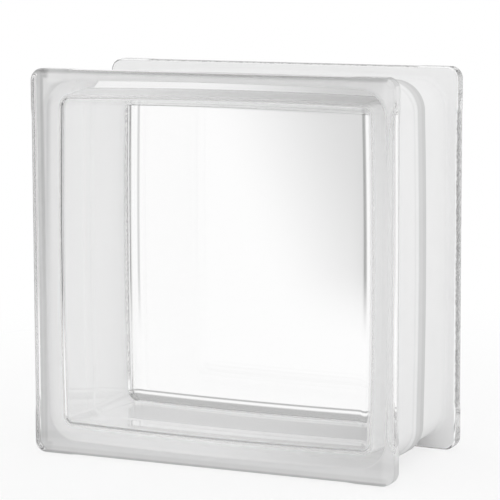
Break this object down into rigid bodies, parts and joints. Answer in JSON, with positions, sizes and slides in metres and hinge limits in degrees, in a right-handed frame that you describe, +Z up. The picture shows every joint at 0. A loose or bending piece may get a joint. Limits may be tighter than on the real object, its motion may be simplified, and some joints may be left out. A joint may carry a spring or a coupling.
{
  "type": "glass block",
  "caption": "Square hollow glass block for a wall or window, with clear flat faces, a flange round each face and a coated mortar channel round its sides.",
  "frame": {"origin": "on the ground at the middle of the block, below the seam", "axes": "+X to the right along the front face, +Y from the front face to the back face, +Z up"},
  "size_m": [0.1968, 0.0984, 0.1969],
  "materials": {
    "clear_glass": "clear pressed glass with smooth fire-polished faces, a stippled strip along the flange edges and a pale translucent coating in the channel"
  },
  "bodies": {
    "root": {"front_half": "clear_glass", "back_half": "clear_glass"}
  },
  "joints": []
}
